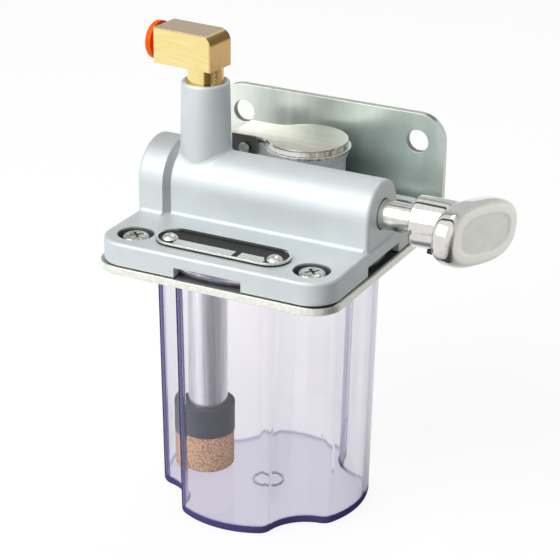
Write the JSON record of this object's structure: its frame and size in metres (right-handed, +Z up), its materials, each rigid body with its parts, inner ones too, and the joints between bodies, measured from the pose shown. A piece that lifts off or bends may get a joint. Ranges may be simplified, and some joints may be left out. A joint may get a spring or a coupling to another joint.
{
  "type": "manual oil pump",
  "caption": "Hand-pulled lubricator: clear lobed oil tank under a cast pump head with a sprung T-handle plunger, hinged filler lid, brass push-in outlet and wall bracket.",
  "frame": {"origin": "middle of the tank's flat underside, on the floor", "axes": "+X towards the handle, +Y towards the wall side of the bracket, +Z up"},
  "size_m": [0.1091, 0.0815, 0.1455],
  "materials": {
    "cast_paint": "satin silver-grey paint on a light alloy casting",
    "zinc_sheet": "bright zinc plate",
    "clear_plastic": "clear moulding with a faint violet tint",
    "black_rubber": "matte",
    "plated_steel": "bright plated",
    "plate_metal": "pressed plate",
    "bronze": "machined",
    "spring_steel": "drawn wire",
    "chrome": "polished with a satin face",
    "black_steel": "black oxide",
    "brass": "machined and brushed",
    "aluminium": "drawn tube",
    "dark_plastic": "matte",
    "sintered_bronze": "granular, porous",
    "orange_plastic": "moulded",
    "nickel": "bright nickel plate"
  },
  "bodies": {
    "base": {"pump_body": "cast_paint", "mounting_bracket": "zinc_sheet", "oil_tank": "clear_plastic", "tank_gasket": "black_rubber", "cover_screws": "plated_steel", "nameplate": "plate_metal", "nameplate_rivets": "plated_steel", "end_plug": "plated_steel", "end_plug_seal": "black_rubber", "rod_bush": "bronze", "rod_seal": "black_rubber", "return_spring": "spring_steel", "suction_seat": "brass", "suction_tube": "aluminium", "filter_collar": "dark_plastic", "filter_element": "sintered_bronze", "outlet_spring": "spring_steel", "outlet_elbow": "brass", "tube_seal": "black_rubber", "tube_grip": "spring_steel", "collar_guide": "brass", "filler_cup": "plated_steel", "lid_hinge_pin": "plated_steel", "lid_spring": "spring_steel"},
    "piston": {"piston": "bronze", "piston_seal": "black_rubber"},
    "plunger": {"plunger_rod": "plated_steel", "piston_nut": "plated_steel", "handle": "chrome", "handle_grub_screw": "black_steel"},
    "lid": {"filler_lid": "nickel"},
    "collar": {"release_collar": "orange_plastic"},
    "suction_valve": {"suction_ball": "plated_steel"},
    "outlet_valve": {"outlet_ball": "plated_steel"}
  },
  "joints": [
    {"name": "plunger_slide", "type": "slide", "parent": "base", "child": "piston", "axis": [1, 0, 0], "range_m": [0, 0.02], "stiffness_N_per_m": 500, "springref_m": -0.02, "deforming": ["return_spring"]},
    {"name": "handle_turn", "type": "hinge", "parent": "piston", "child": "plunger", "pos_m": [0, 0, 0.0987], "axis": [1, 0, 0], "continuous": true},
    {"name": "lid_hinge", "type": "hinge", "parent": "base", "child": "lid", "pos_m": [-0.018, 0.0253, 0.1036], "axis": [0, -1, 0], "range_deg": [0, 100], "stiffness_Nm_per_rad": 0.015, "springref_deg": -28.65, "deforming": ["lid_spring"]},
    {"name": "collar_press", "type": "slide", "parent": "base", "child": "collar", "axis": [0.9969, -0.0785, 0], "range_m": [0, 0.0009], "stiffness_N_per_m": 400, "springref_m": -0.001},
    {"name": "suction_ball_lift", "type": "slide", "parent": "base", "child": "suction_valve", "axis": [0, 0, 1], "range_m": [0, 0.0012]},
    {"name": "outlet_ball_lift", "type": "slide", "parent": "base", "child": "outlet_valve", "axis": [0, 0, 1], "range_m": [0, 0.0012], "stiffness_N_per_m": 150, "springref_m": -0.002, "deforming": ["outlet_spring"]}
  ]
}
